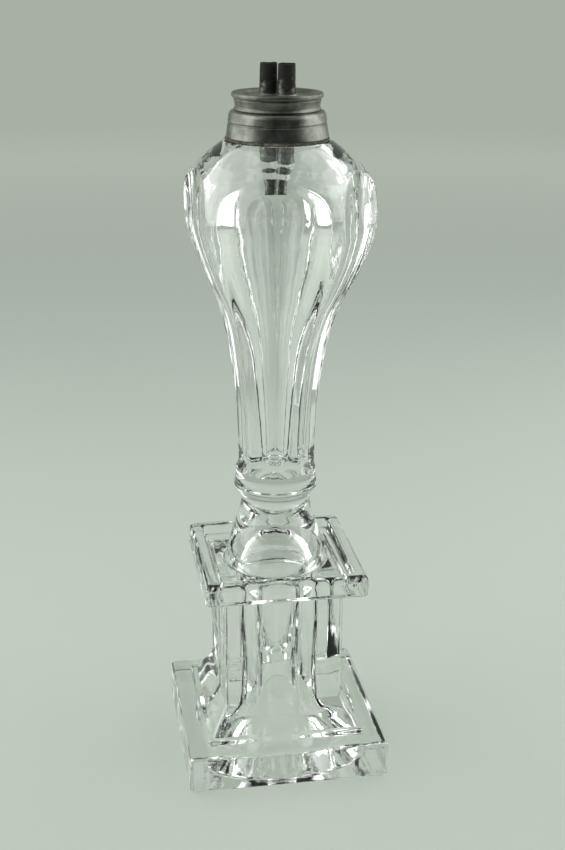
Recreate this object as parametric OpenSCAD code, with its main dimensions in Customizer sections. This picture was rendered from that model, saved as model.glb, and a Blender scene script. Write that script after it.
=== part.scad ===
// Camphene lamp: a pressed glass font on a square pressed glass pedestal, with a
// pewter collar and a screw-in burner that holds two wick tubes.
// The origin is the centre of the foot's underside, Z is up and the front is -Y.

/* [Foot and column] */
// Side of the square foot
foot_w = 82; // [78:1:92]
// Height of the foot slab
foot_h = 16; // [12:0.5:18]
// Side of the low step between the foot and the moulding
step_w = 65.6; // [62:0.2:70]
// Height of that step
step_h = 2.2; // [1:0.1:3]
// Height of the hollow moulding that draws in from the step to the column
moulding_h = 10.4; // [8:0.2:14]
// Side of the square column
column_w = 48.4; // [44:0.2:52]
// Height of the column between its mouldings
column_h = 50; // [40:1:60]
// Side of the square cap plate
cap_w = 65.6; // [60:0.2:70]
// Height of the cap plate, from its underside to the top of its rolled rim
cap_h = 9; // [7:0.5:11]
// Depth of the sunk square inside the rolled rim
cap_sink = 3.4; // [2:0.2:4.4]
// Width of the rolled rim
rim_w = 5.6; // [4:0.2:7]

/* [Stem and wafer] */
// Height of the round stem above the sunk square
stem_h = 30; // [24:1:36]
// Radius of the stem where it rises from the cap plate
stem_r = 21.2; // [18:0.2:23]
// Radius of the stem at its waist, just under the wafer
waist_r = 14; // [12:0.2:15]
// Radius of the glass wafer that joins the font to the stem
wafer_r = 17; // [16:0.2:18]
// Thickness of the wafer
wafer_h = 7.4; // [5:0.2:9]
// Radius of the plunger hollow inside the column
hollow_r = 16.4; // [14:0.2:18]
// Radius of the mouth of that hollow, on the underside of the foot
mouth_r = 34; // [28:0.5:37]

/* [Font] */
// Number of arched loops round the font
loops = 5; // [4:1:8]
// Turn of the font on its pedestal, in degrees
font_turn = -12.4; // [-36:0.2:36]
// Radius of the loops' ridges at the widest level
font_r = 38.8; // [36:0.2:41]
// Extra hollow in the middle of each loop, past a flat face
loop_hollow = 1; // [0:0.1:1.4]
// Half width of a ridge between two loops, in degrees
ridge_half = 7; // [4:0.5:9]
// How far the bulge leans to the right of the lamp's axis
font_lean = 1.3; // [0:0.1:1.6]
// Radius of the glass neck inside the collar
neck_r = 16.4; // [15.6:0.1:17]
// Radius of the neck's bore
neck_bore_r = 13; // [12.6:0.1:13.4]

/* [Collar] */
// Radius of the collar's lower edge
collar_r = 19.4; // [19:0.1:20]
// Height of the collar
collar_h = 10; // [9:0.2:11]
// Radius of the threaded bore that takes the burner
thread_r = 11.1; // [10.6:0.1:11.4]

/* [Burner] */
// Radius of the burner's flange
flange_r = 17.2; // [16.4:0.1:18]
// Height of the burner from the collar to the rim of its flange
burner_h = 6.3; // [5.6:0.1:7]
// Length of the threaded plug below the burner
plug_h = 7.4; // [6:0.2:8]
// Outer radius of a wick tube
tube_r = 3.5; // [3.2:0.05:3.6]
// Outer radius of a wick tube at its top end
tube_top_r = 3.2; // [3.1:0.05:3.4]
// Radius of a wick tube's bore
tube_bore_r = 2.9; // [2.7:0.05:2.95]
// Distance between the centres of the two wick tubes
tube_gap = 7.5; // [7.3:0.1:8.2]
// How far the tubes stand above the flange
tube_up = 10.6; // [8:0.2:14]
// How far the tubes hang below the flange
tube_down = 31.8; // [26:0.2:36]
// Turn of the line through both tubes, in degrees
tube_turn = -36.4; // [-90:0.2:90]

/* [Wicks] */
// Radius of a cotton wick
wick_r = 2.55; // [2.2:0.05:2.6]
// Distance from the tube's top down to the wick's charred end
wick_short = 0.2; // [0:0.1:4]

/* [Hidden] */
$fn = 96;

glass_tint = [0.80, 0.87, 0.82, 0.45];
pewter = [0.34, 0.35, 0.33];
plaster = [0.45, 0.43, 0.36];
leather = [0.32, 0.20, 0.12];
cotton = [0.82, 0.78, 0.68];
solder_grey = [0.50, 0.50, 0.48];

// Levels up the pedestal
step_top = foot_h + step_h;
column_z = step_top + moulding_h;
cap_z = column_z + column_h;
rim_z = cap_z + cap_h;
sunk_z = rim_z - cap_sink;
wafer_z = sunk_z + stem_h;
font_z = wafer_z + wafer_h;

// Levels up the font, as heights above the wafer, and the collar and burner above it
ring_top = font_z + 3;
arch_spring = font_z + 100.4;
arch_top = font_z + 126;
crease_z = font_z + 127;
shoulder_z = font_z + 133.8;
collar_z = shoulder_z + 1.2;
collar_top = collar_z + collar_h;
neck_top = collar_top - 3.8;
washer_h = 0.7;
flange_z = collar_top + burner_h;
dish_z = flange_z - 1.3;
plate_h = 1.6;
plug_z = collar_top - plug_h;
tube_top = flange_z + tube_up;
tube_end = flange_z - tube_down;

// Small distances: running clearance of a thread or a soldered tube, and an overlap
// that makes a cut pass cleanly through a face
slip = 0.05;
over = 1;
edge = 1.2;

// Steps between two control points of a curve, and points across one loop
curve_steps = 4;
ring_steps = 2;
loop_points = 16;

function catmull(a, b, c, d, t) =
    b + (c - a) * t / 2
    + (2 * a - 5 * b + 4 * c - d) * t * t / 2
    + (3 * b - a - 3 * c + d) * t * t * t / 2;

// A smooth curve through the control points, as a list of points
function curve(p, steps) = concat(
    [for (i = [0:len(p) - 2], s = [0:steps - 1])
        catmull(p[max(i - 1, 0)], p[i], p[i + 1], p[min(i + 2, len(p) - 1)], s / steps)],
    [p[len(p) - 1]]
);

// An arc from angle a to angle b
function arc(centre, r, a, b, steps = 8) =
    [for (s = [0:steps]) let (t = a + (b - a) * s / steps) centre + r * [cos(t), sin(t)]];

// A solid of square plan whose half width at each height follows the profile
module square_turned(profile, w) {
    outline = concat(profile, [for (i = [len(profile) - 1:-1:0]) [-profile[i][0], profile[i][1]]]);
    intersection() {
        rotate([90, 0, 0]) linear_extrude(w, center = true) polygon(outline);
        rotate([90, 0, 90]) linear_extrude(w, center = true) polygon(outline);
    }
}

// A solid skin over a stack of rings that have the same number of points
module loft(rings) {
    n = len(rings[0]);
    m = len(rings);
    sides = [for (i = [0:m - 2], j = [0:n - 1])
        let (a = i * n + j, b = i * n + (j + 1) % n)
            each [[a, b + n, b], [a, a + n, b + n]]];
    bottom = [for (j = [0:n - 1]) j];
    top = [for (j = [n - 1:-1:0]) (m - 1) * n + j];
    polyhedron([for (ring = rings) each ring], concat(sides, [bottom, top]));
}

// Foot slab with a softened edge, low step, hollow moulding and column
function plinth_profile() = concat(
    [[foot_w / 2 - edge, 0], [foot_w / 2, edge], [foot_w / 2, foot_h - edge]],
    arc([foot_w / 2 - edge, foot_h - edge], edge, 22.5, 90, 3),
    [[step_w / 2, foot_h], [step_w / 2 - 0.4, step_top]],
    curve([[step_w / 2 - 1.8, step_top], [step_w / 2 - 4.6, step_top + 4.6],
        [column_w / 2 + 1.5, column_z - 2.4], [column_w / 2, column_z]], curve_steps),
    [[column_w / 2, column_z]]
);

// Cap plate with a hollow moulding under it and a rolled rim on top
function cap_profile() = concat(
    [[column_w / 2, column_z], [column_w / 2, cap_z - 2.4]],
    arc([column_w / 2 + 2.4, cap_z - 2.4], 2.4, 180, 90, 4),
    [[cap_w / 2 - 1.2, cap_z], [cap_w / 2, cap_z + 1.2], [cap_w / 2, rim_z - rim_w / 2]],
    arc([cap_w / 2 - rim_w / 2, rim_z - rim_w / 2], rim_w / 2, 15, 90, 6)
);

// The sunk square inside the rolled rim
function sunk_profile() = concat(
    [[cap_w / 2 - rim_w - 0.6, sunk_z]],
    arc([cap_w / 2 - rim_w / 2, rim_z - rim_w / 2], rim_w / 2, 165, 90, 5),
    [[cap_w / 2 - rim_w / 2, rim_z + over]]
);

function stem_curve() = curve([
    [stem_r, sunk_z], [stem_r - 1.3, sunk_z + 3.4], [stem_r - 2.4, sunk_z + 9],
    [stem_r - 4, sunk_z + 14.4], [waist_r + 1.5, sunk_z + 19.6], [waist_r + 0.2, sunk_z + 24.6],
    [waist_r, sunk_z + 27.6], [waist_r + 0.6, wafer_z]
], curve_steps);

// Hollow left by the plunger: a flared mouth, a straight barrel and a domed end
function hollow_curve() = concat(
    curve([[mouth_r + 1.4, -over], [mouth_r - 5, 3.6], [hollow_r + 5.6, 9.6],
        [hollow_r + 1.6, 16.6], [hollow_r, 28]], curve_steps),
    curve([[hollow_r, cap_z - 12], [hollow_r - 1.2, cap_z - 2], [hollow_r - 3.8, cap_z + 7],
        [hollow_r - 7, cap_z + 14], [hollow_r - 11.4, cap_z + 18.4], [0, cap_z + 19.8]], curve_steps)
);

module pedestal() {
    color(glass_tint) difference() {
        union() {
            square_turned(plinth_profile(), foot_w + over);
            difference() {
                square_turned(cap_profile(), cap_w + over);
                square_turned(sunk_profile(), cap_w + over);
            }
            rotate_extrude() polygon(concat([[0, sunk_z - over], [stem_r, sunk_z - over]],
                stem_curve(), [[0, wafer_z]]));
        }
        rotate_extrude() polygon(concat([[0, -over]], hollow_curve()));
    }
}

// Disc of glass with a rounded edge, pressed between the stem and the font
module wafer() {
    color(glass_tint) rotate_extrude() polygon(concat(
        [[0, wafer_z]],
        curve([[waist_r + 0.6, wafer_z], [wafer_r - 0.9, wafer_z + 1.3], [wafer_r, wafer_z + 3.6],
            [wafer_r - 0.5, wafer_z + 5.8], [wafer_r - 1.6, font_z]], curve_steps),
        [[0, font_z]]
    ));
}

// Radius and height of the ridges from the wafer to the top of the shoulder
function ridge_curve() = curve([
    [wafer_r - 1.6, font_z], [wafer_r - 0.7, font_z + 1.5], [wafer_r - 0.7, ring_top],
    [font_r - 22.4, font_z + 6], [font_r - 22, font_z + 18], [font_r - 21.3, font_z + 31],
    [font_r - 19.7, font_z + 43.4], [font_r - 17.2, font_z + 55.8], [font_r - 14.8, font_z + 64],
    [font_r - 11.4, font_z + 72], [font_r - 7.4, font_z + 80], [font_r - 4.1, font_z + 88],
    [font_r - 1.6, font_z + 95.8], [font_r - 0.2, font_z + 103.4], [font_r - 0.1, font_z + 110.4],
    [font_r - 0.9, font_z + 115.4], [font_r - 2.4, font_z + 118.9], [font_r - 5.2, font_z + 122.4],
    [font_r - 9, crease_z], [font_r - 12.5, font_z + 129.9], [font_r - 18.4, shoulder_z]
], ring_steps);

function ramp(z, z0, z1) = max(0, min(1, (z - z0) / (z1 - z0)));

// Share of its full width that a loop has at height z: 1 below the spring of the arch
function arch_share(z) =
    z < arch_spring ? 1
    : sqrt(max(0, 1 - pow((z - arch_spring) / (arch_top - arch_spring), 2)));

// Depth of the glass cut away below the ridge circle, a degrees from a loop's middle
function loop_depth(r, z, a) =
    let (
        share = arch_share(z),
        half = (180 / loops - ridge_half * (0.7 + 0.3 * ramp(z, ring_top, arch_spring))) * share,
        middle = r * (1 - cos(half)) + loop_hollow * share * ramp(z, font_z, arch_spring)
    )
    half < 0.5 ? 0 : middle * max(0, 1 - pow(a / half, 2)) * ramp(z, ring_top, ring_top + 3);

// The bulge leans to the right as the lamp is seen in its front view
function lean(z) = font_lean * exp(-pow((z - arch_spring + 10) / 26, 2));

module font_body() {
    n = loops * loop_points;
    loft([for (p = ridge_curve())
        [for (j = [0:n - 1])
            let (
                a = j * 360 / n - 90,
                from_middle = (j % loop_points + loop_points / 2) % loop_points - loop_points / 2,
                r = p[0] - loop_depth(p[0], p[1], from_middle * 360 / n)
            )
            [r * cos(a) + lean(p[1]), r * sin(a), p[1]]]]);
}

// The cavity that holds the burning fluid, up through the bore of the neck
function cavity_curve() = concat(
    curve([[0, font_z + 4.8], [neck_bore_r - 5.6, font_z + 5.8], [neck_bore_r - 3.1, font_z + 9.4],
        [neck_bore_r - 2.7, font_z + 16], [neck_bore_r - 2.5, font_z + 28], [neck_bore_r - 1.6, font_z + 41],
        [neck_bore_r + 0.4, font_z + 54], [neck_bore_r + 3.5, font_z + 66], [neck_bore_r + 7.5, font_z + 77],
        [neck_bore_r + 11.2, font_z + 87], [neck_bore_r + 13.6, font_z + 97],
        [neck_bore_r + 14.4, font_z + 106], [neck_bore_r + 13.4, font_z + 114],
        [neck_bore_r + 10.4, font_z + 121], [neck_bore_r + 5.8, font_z + 127.4],
        [neck_bore_r + 1.6, font_z + 131.8], [neck_bore_r, shoulder_z + 1]], curve_steps),
    [[neck_bore_r, neck_top + over], [0, neck_top + over]]
);

module font() {
    color(glass_tint) difference() {
        union() {
            rotate([0, 0, font_turn]) font_body();
            translate([0, 0, shoulder_z - over]) cylinder(r = neck_r, h = neck_top - shoulder_z + over);
        }
        rotate_extrude() polygon(cavity_curve());
    }
}

// Plaster that bedded the collar on the neck and was left rough under its edge
module cement_ring() {
    skirt_r = collar_r - 1.3;
    color(plaster) rotate_extrude() polygon([
        [neck_r, shoulder_z], [collar_r + 0.3, shoulder_z], [collar_r + 0.5, shoulder_z + 0.5],
        [collar_r + 0.3, collar_z], [skirt_r, collar_z], [skirt_r, neck_top], [neck_r, neck_top]
    ]);
}

// Cast collar: a flared skirt outside the neck and a threaded sleeve inside it
module collar() {
    skirt_r = collar_r - 1.3;
    color(pewter) rotate_extrude() polygon(concat(
        [[skirt_r, collar_z], [collar_r, collar_z]],
        curve([[collar_r, collar_z + 0.6], [collar_r - 0.4, collar_z + 2.6],
            [collar_r - 0.7, collar_z + 5]], curve_steps),
        [[collar_r - 1, collar_z + 5.2], [collar_r - 1, collar_z + 5.7], [collar_r - 0.8, collar_z + 6]],
        curve([[collar_r - 1, collar_z + 6.8], [collar_r - 1.2, collar_z + 8],
            [collar_r - 1.6, collar_top - 1], [collar_r - 2.4, collar_top - 0.2],
            [collar_r - 3.2, collar_top]], curve_steps),
        [[thread_r + 0.4, collar_top], [thread_r, collar_top - 0.4], [thread_r, collar_z + 1],
            [thread_r + 1.2, collar_z + 1], [thread_r + 1.2, collar_top - 2.2],
            [skirt_r - 1, collar_top - 2.2], [skirt_r, neck_top]]
    ));
}

// Leather washer in a recess under the burner, seated on the collar
module seal_washer() {
    color(leather) translate([0, 0, collar_top]) difference() {
        cylinder(r = thread_r + 3.8, h = washer_h);
        translate([0, 0, -over]) cylinder(r = thread_r + 0.8, h = washer_h + 2 * over);
    }
}

// Places a child on the axis of the left tube (side -1) or the right tube (side 1)
module at_tube(side) {
    rotate([0, 0, tube_turn]) translate([side * tube_gap / 2, 0, 0]) children();
}

// Flange with a dished top, hollow-sided neck and a hollow threaded plug
module burner_cap() {
    plug_r = thread_r - slip;
    seat_z = collar_top + 0.1;
    recess_z = collar_top + washer_h;
    color(pewter) difference() {
        rotate_extrude() polygon(concat(
            [[plug_r - 1.85, plug_z], [plug_r - 0.3, plug_z], [plug_r, plug_z + 0.3], [plug_r, recess_z],
                [thread_r + 4.1, recess_z], [thread_r + 4.1, seat_z]],
            curve([[flange_r - 0.8, seat_z], [flange_r - 1.3, seat_z + 0.9], [flange_r - 1.2, seat_z + 2.2],
                [flange_r - 0.8, seat_z + 3.6], [flange_r - 0.7, seat_z + 4.3]], curve_steps),
            [[flange_r - 0.2, flange_z - 1.8]],
            arc([flange_r - 0.5, flange_z - 0.5], 0.5, 0, 90, 4),
            [[flange_r - 2.7, flange_z - 0.2]],
            arc([flange_r - 4.3, dish_z + 1.1], 1.1, 0, -90, 4),
            [[0, dish_z], [0, dish_z - plate_h], [plug_r - 1.85, dish_z - plate_h]]
        ));
        for (side = [-1, 1])
            at_tube(side) translate([0, 0, dish_z - plate_h - over])
                cylinder(r = tube_r + slip, h = plate_h + 2 * over);
    }
}

// A drawn tube, straight through the burner and drawn in a little above it
module wick_tube(side) {
    color(pewter) at_tube(side) difference() {
        union() {
            translate([0, 0, tube_end]) cylinder(r = tube_r, h = flange_z - tube_end);
            translate([0, 0, flange_z]) cylinder(r1 = tube_r, r2 = tube_top_r, h = tube_up);
        }
        translate([0, 0, tube_end - over]) cylinder(r = tube_bore_r, h = tube_top - tube_end + 2 * over);
    }
}

// Solder run round both tubes where they stand in the dish
module tube_solder() {
    color(solder_grey) difference() {
        for (side = [-1, 1])
            at_tube(side) translate([0, 0, dish_z]) cylinder(r1 = tube_r + 1.1, r2 = tube_r + 0.35, h = 0.8);
        for (side = [-1, 1])
            at_tube(side) translate([0, 0, dish_z - over]) cylinder(r = tube_r, h = 2 * over + 0.8);
    }
}

// Braided cotton wick with a rounded charred end
module wick(side) {
    top = tube_top - wick_short;
    color(cotton) at_tube(side) rotate_extrude() polygon([
        [0, tube_end + 1.4], [wick_r - 0.2, tube_end + 1.4], [wick_r, tube_end + 1.8],
        [wick_r, top - 1.2], [wick_r - 0.35, top - 0.4], [0, top]
    ]);
}

pedestal();
wafer();
font();
cement_ring();
collar();
seal_washer();
burner_cap();
wick_tube(-1);  // wick_tube_left
wick_tube(1);  // wick_tube_right
tube_solder();
wick(-1);  // wick_left
wick(1);  // wick_right
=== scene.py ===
"""Camphene lamp: pressed glass, a pewter collar and a burner with two wick tubes."""

import math

import bmesh
import bpy
from mathutils import Matrix, Vector, noise


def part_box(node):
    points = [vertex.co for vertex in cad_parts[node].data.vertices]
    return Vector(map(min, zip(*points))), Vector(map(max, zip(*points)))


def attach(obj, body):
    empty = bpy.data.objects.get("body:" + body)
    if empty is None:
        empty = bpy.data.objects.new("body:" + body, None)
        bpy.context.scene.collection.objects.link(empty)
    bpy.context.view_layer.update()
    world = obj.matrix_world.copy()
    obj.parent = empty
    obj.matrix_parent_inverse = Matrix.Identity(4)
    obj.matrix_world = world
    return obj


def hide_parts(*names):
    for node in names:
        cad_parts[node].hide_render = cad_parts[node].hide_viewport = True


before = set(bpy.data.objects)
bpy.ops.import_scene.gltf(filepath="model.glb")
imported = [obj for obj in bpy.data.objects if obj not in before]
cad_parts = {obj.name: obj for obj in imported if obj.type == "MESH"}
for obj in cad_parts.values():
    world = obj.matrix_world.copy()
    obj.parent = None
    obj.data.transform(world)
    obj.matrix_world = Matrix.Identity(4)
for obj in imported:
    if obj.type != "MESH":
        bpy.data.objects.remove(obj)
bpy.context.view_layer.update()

bl_info = {
    "name": "Camphene Lamp",
    "version": (1, 0, 0),
    "blender": (4, 5, 0),
    "location": "View3D > Sidebar > Camphene Lamp",
    "description": "Dresses the fixed frame of a camphene lamp in glass, pewter, plaster and cotton",
    "category": "Add Mesh",
}

MM = 0.001

# Edges that turn by more than this shade sharp
SHARP_ANGLE = math.radians(35.0)

# Points closer than this, in millimetres, are one point
MERGE_DISTANCE = 2e-4


def level(node, top=False):
    """Height in millimetres of a frame node's underside or top."""
    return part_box(node)[1 if top else 0].z / MM


def half_width(node):
    """Half of a frame node's width in millimetres."""
    low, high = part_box(node)
    return (high.x - low.x) / 2 / MM


# Outlines, as lists of (radius, height) in millimetres


def curve(points, steps=6):
    """A smooth curve through the control points."""
    out = []
    for i in range(len(points) - 1):
        a, b = points[max(i - 1, 0)], points[i]
        c, d = points[i + 1], points[min(i + 2, len(points) - 1)]
        for s in range(steps):
            t = s / steps
            out.append(tuple(
                q + (r - p) * t / 2
                + (2 * p - 5 * q + 4 * r - w) * t * t / 2
                + (3 * q - p - 3 * r + w) * t ** 3 / 2
                for p, q, r, w in zip(a, b, c, d)
            ))
    out.append(tuple(points[-1]))
    return out


def rounded(corners, hold=0.3, step=15.0):
    """An outline through (radius, height, fillet) corners, each rounded by its fillet.

    A point is added on the flat just past each end of a fillet, so that flats shade flat.
    """
    out = [Vector(corners[0][:2])]
    for before, here, after in zip(corners, corners[1:], corners[2:]):
        corner, fillet = Vector(here[:2]), here[2]
        back, on = Vector(before[:2]) - corner, Vector(after[:2]) - corner
        if fillet <= 0:
            out.append(corner)
            continue
        inside = back.angle(on)
        reach = min(fillet / math.tan(inside / 2), back.length * 0.49, on.length * 0.49)
        radius = reach * math.tan(inside / 2)
        back.normalize()
        on.normalize()
        centre = corner + (back + on).normalized() * (radius / math.sin(inside / 2))
        start, end = corner + back * reach - centre, corner + on * reach - centre
        turn = math.pi - inside
        if back.x * on.y - back.y * on.x > 0:
            turn = -turn
        out.append(corner + back * (reach + hold))
        count = max(2, round(math.degrees(abs(turn)) / step))
        for s in range(count + 1):
            out.append(centre + Matrix.Rotation(turn * s / count, 2) @ start)
        out.append(centre + end + on * hold)
    out.append(Vector(corners[-1][:2]))
    return [tuple(p) for p in out]


def ramp(value, low, high):
    """0 below low, 1 above high, and even in between."""
    return max(0.0, min(1.0, (value - low) / (high - low)))


# Meshes


def revolve(bm, outline, steps, marks=()):
    """Spins an outline round Z. Each mark is (layer name, one value per outline point).

    The outline is spun through one wedge, and the wedge is then spun round as copies.
    """
    layers = [bm.verts.layers.float.new(name) for name, _ in marks]
    row = []
    for i, (r, z) in enumerate(outline):
        vert = bm.verts.new((max(r, 0.0), 0.0, z))
        for layer, (_, values) in zip(layers, marks):
            vert[layer] = values[i]
        row.append(vert)
    edges = [bm.edges.new(pair) for pair in zip(row, row[1:])]
    wedges = next(n for n in range(int(math.sqrt(steps)), 0, -1) if steps % n == 0)
    bmesh.ops.spin(
        bm, geom=row + edges, cent=(0, 0, 0), axis=(0, 0, 1), angle=math.tau / wedges,
        steps=steps // wedges, use_merge=False, use_normal_flip=False, use_duplicate=False,
    )
    bmesh.ops.spin(
        bm, geom=bm.verts[:] + bm.edges[:] + bm.faces[:], cent=(0, 0, 0), axis=(0, 0, 1),
        angle=math.tau * (wedges - 1) / wedges, steps=wedges - 1,
        use_merge=False, use_normal_flip=False, use_duplicate=True,
    )
    bmesh.ops.remove_doubles(bm, verts=bm.verts[:], dist=MERGE_DISTANCE)
    bmesh.ops.dissolve_degenerate(bm, dist=1e-5, edges=bm.edges[:])


def finish_piece(bm, name, body, material, replaced):
    """Turns a millimetre bmesh into a finished piece that rides on a body in place of its nodes."""
    bmesh.ops.recalc_face_normals(bm, faces=bm.faces[:])
    bmesh.ops.scale(bm, vec=(MM, MM, MM), verts=bm.verts[:])
    for face in bm.faces:
        face.smooth = True
    for edge in bm.edges:
        edge.smooth = edge.calc_face_angle(0.0) < SHARP_ANGLE
    mesh = bpy.data.meshes.new(name)
    bm.to_mesh(mesh)
    bm.free()
    piece = bpy.data.objects.new(name, mesh)
    bpy.context.scene.collection.objects.link(piece)
    mesh.materials.append(material)
    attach(piece, body)
    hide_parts(*replaced)
    return piece


def roughen(bm, amount, size, seed, share):
    """Moves each vertex along its normal by smooth noise of the given grain size.

    share gives the part of that amount that each place takes.
    """
    bm.normal_update()
    shift = Vector((seed * 17.3, seed * 5.1, seed * 9.7))
    moves = [
        v.normal * amount * noise.noise(v.co / size + shift) * share(v.co) for v in bm.verts
    ]
    for v, move in zip(bm.verts, moves):
        v.co += move


# Materials


def srgb(text):
    """A linear colour from an sRGB hex value."""
    parts = [int(text.lstrip("#")[i:i + 2], 16) / 255 for i in (0, 2, 4)]
    linear = [c / 12.92 if c <= 0.04045 else ((c + 0.055) / 1.055) ** 2.4 for c in parts]
    return (*linear, 1.0)


def pattern_scale(size_mm):
    """The scale of a pattern whose features are about size_mm across."""
    return 1 / (size_mm * MM)


def add_node(tree, kind, inputs=None, stops=(), **settings):
    """Adds a node with its settings, its inputs' values or links, and any colour ramp's stops."""
    node = tree.nodes.new(kind)
    for name, value in settings.items():
        setattr(node, name, value)
    for name, value in (inputs or {}).items():
        if isinstance(value, bpy.types.NodeSocket):
            tree.links.new(value, node.inputs[name])
        else:
            node.inputs[name].default_value = value
    if stops:
        elements = node.color_ramp.elements
        while len(elements) < len(stops):
            elements.new(1.0)
        for element, (position, colour) in zip(elements, stops):
            element.position = position
            element.color = srgb(colour)
    return node


def new_material(name):
    """An empty material with its tree, its output node and object coordinates."""
    material = bpy.data.materials.new(name)
    material.use_nodes = True
    tree = material.node_tree
    tree.nodes.clear()
    output = add_node(tree, "ShaderNodeOutputMaterial")
    coords = add_node(tree, "ShaderNodeTexCoord").outputs["Object"]
    return material, tree, output, coords


def clear_lead_glass():
    """Lead glass pressed in an iron mould: clear, with a skin that bends what is seen through it.

    The cold mould leaves it gently wavy, and the plunger draws fine upright streaks. Lamps
    shine through it, so that it casts only a faint shadow.
    """
    material, tree, output, coords = new_material("clear_pressed_lead_glass")
    wave = add_node(tree, "ShaderNodeTexNoise", {
        "Vector": coords, "Scale": pattern_scale(9.0), "Detail": 1.0})
    drawn = add_node(tree, "ShaderNodeMapping", {"Vector": coords, "Scale": (1, 1, 0.06)})
    streak = add_node(tree, "ShaderNodeTexNoise", {
        "Vector": drawn.outputs["Vector"], "Scale": pattern_scale(1.5), "Detail": 2.0})
    chill = add_node(tree, "ShaderNodeTexNoise", {
        "Vector": coords, "Scale": pattern_scale(1.6), "Detail": 2.0})
    wavy = add_node(tree, "ShaderNodeBump", {
        "Height": wave.outputs["Fac"], "Distance": 0.10 * MM})
    streaky = add_node(tree, "ShaderNodeBump", {
        "Height": streak.outputs["Fac"], "Distance": 0.03 * MM,
        "Normal": wavy.outputs["Normal"]})
    skin = add_node(tree, "ShaderNodeBump", {
        "Height": chill.outputs["Fac"], "Distance": 0.006 * MM,
        "Normal": streaky.outputs["Normal"]})
    shader = add_node(tree, "ShaderNodeBsdfPrincipled", {
        "Base Color": srgb("#fdfefd"),
        "Roughness": 0.015,
        "IOR": 1.545,
        "Transmission Weight": 1.0,
        "Normal": skin.outputs["Normal"],
    })
    path = add_node(tree, "ShaderNodeLightPath")
    through = add_node(tree, "ShaderNodeBsdfTransparent", {"Color": srgb("#f2f5f2")})
    mix = add_node(tree, "ShaderNodeMixShader", {
        0: path.outputs["Is Shadow Ray"], 1: shader.outputs["BSDF"], 2: through.outputs["BSDF"]})
    tree.links.new(mix.outputs["Shader"], output.inputs["Surface"])
    return material


def aged_pewter(name, light, dark, roughness):
    """Cast pewter gone dark with age, its skin turned on a lathe and then handled.

    The eye sees a cloudy dull grey, brighter where it is worn, with fine scratches round it.
    """
    material, tree, output, coords = new_material(name)
    cloud = add_node(tree, "ShaderNodeTexNoise", {
        "Vector": coords, "Scale": pattern_scale(6.0), "Detail": 5.0, "Roughness": 0.6})
    grain = add_node(tree, "ShaderNodeTexNoise", {
        "Vector": coords, "Scale": pattern_scale(0.5), "Detail": 3.0, "Roughness": 0.7})
    turned = add_node(tree, "ShaderNodeMapping", {"Vector": coords, "Scale": (1, 1, 14)})
    scratch = add_node(tree, "ShaderNodeTexNoise", {
        "Vector": turned.outputs["Vector"], "Scale": pattern_scale(3.85), "Detail": 4.0,
        "Roughness": 0.6})
    colour = add_node(
        tree, "ShaderNodeValToRGB", {"Fac": cloud.outputs["Fac"]}, [(0.34, dark), (0.66, light)])
    rough = add_node(tree, "ShaderNodeMapRange", {
        "Value": grain.outputs["Fac"], "From Min": 0.3, "From Max": 0.7,
        "To Min": roughness - 0.07, "To Max": roughness + 0.10})
    grainy = add_node(tree, "ShaderNodeBump", {
        "Height": grain.outputs["Fac"], "Distance": 0.03 * MM, "Strength": 0.7})
    scratched = add_node(tree, "ShaderNodeBump", {
        "Height": scratch.outputs["Fac"], "Distance": 0.02 * MM, "Strength": 0.6,
        "Normal": grainy.outputs["Normal"]})
    shader = add_node(tree, "ShaderNodeBsdfPrincipled", {
        "Base Color": colour.outputs["Color"],
        "Metallic": 1.0,
        "Roughness": rough.outputs["Result"],
        "Normal": scratched.outputs["Normal"],
    })
    tree.links.new(shader.outputs["BSDF"], output.inputs["Surface"])
    return material


def sooty_tube_metal():
    """Drawn and tinned wick tube: dark grey metal, blotched with soot that thickens upwards."""
    material, tree, output, coords = new_material("sooty_tinned_metal")
    place = add_node(tree, "ShaderNodeSeparateXYZ", {"Vector": coords})
    blotch = add_node(tree, "ShaderNodeTexNoise", {
        "Vector": coords, "Scale": pattern_scale(3.0), "Detail": 4.0, "Roughness": 0.65})
    flame = add_node(tree, "ShaderNodeMapRange", {
        "Value": place.outputs["Z"], "From Min": (TUBE_TOP - 12) * MM,
        "From Max": (TUBE_TOP - 1) * MM, "To Min": 0.0, "To Max": 0.32})
    lifted = add_node(tree, "ShaderNodeMath", {
        0: blotch.outputs["Fac"], 1: flame.outputs["Result"]}, operation="ADD")
    soot = add_node(tree, "ShaderNodeMapRange", {
        "Value": lifted.outputs["Value"], "From Min": 0.45, "From Max": 0.66})
    cloud = add_node(tree, "ShaderNodeTexNoise", {
        "Vector": coords, "Scale": pattern_scale(1.2), "Detail": 4.0, "Roughness": 0.6})
    metal = add_node(
        tree, "ShaderNodeValToRGB", {"Fac": cloud.outputs["Fac"]},
        [(0.35, "#55584f"), (0.65, "#8c9086")])
    dented = add_node(tree, "ShaderNodeBump", {
        "Height": blotch.outputs["Fac"], "Distance": 0.08 * MM, "Strength": 0.6})
    metal_shader = add_node(tree, "ShaderNodeBsdfPrincipled", {
        "Base Color": metal.outputs["Color"], "Metallic": 1.0, "Roughness": 0.42,
        "Normal": dented.outputs["Normal"]})
    crust = add_node(tree, "ShaderNodeTexNoise", {
        "Vector": coords, "Scale": pattern_scale(0.4), "Detail": 3.0, "Roughness": 0.7})
    crusty = add_node(tree, "ShaderNodeBump", {
        "Height": crust.outputs["Fac"], "Distance": 0.06 * MM})
    soot_shader = add_node(tree, "ShaderNodeBsdfPrincipled", {
        "Base Color": srgb("#1c1c1a"), "Roughness": 0.85, "Normal": crusty.outputs["Normal"]})
    mix = add_node(tree, "ShaderNodeMixShader", {
        0: soot.outputs["Result"], 1: metal_shader.outputs["BSDF"],
        2: soot_shader.outputs["BSDF"]})
    tree.links.new(mix.outputs["Shader"], output.inputs["Surface"])
    return material


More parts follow.
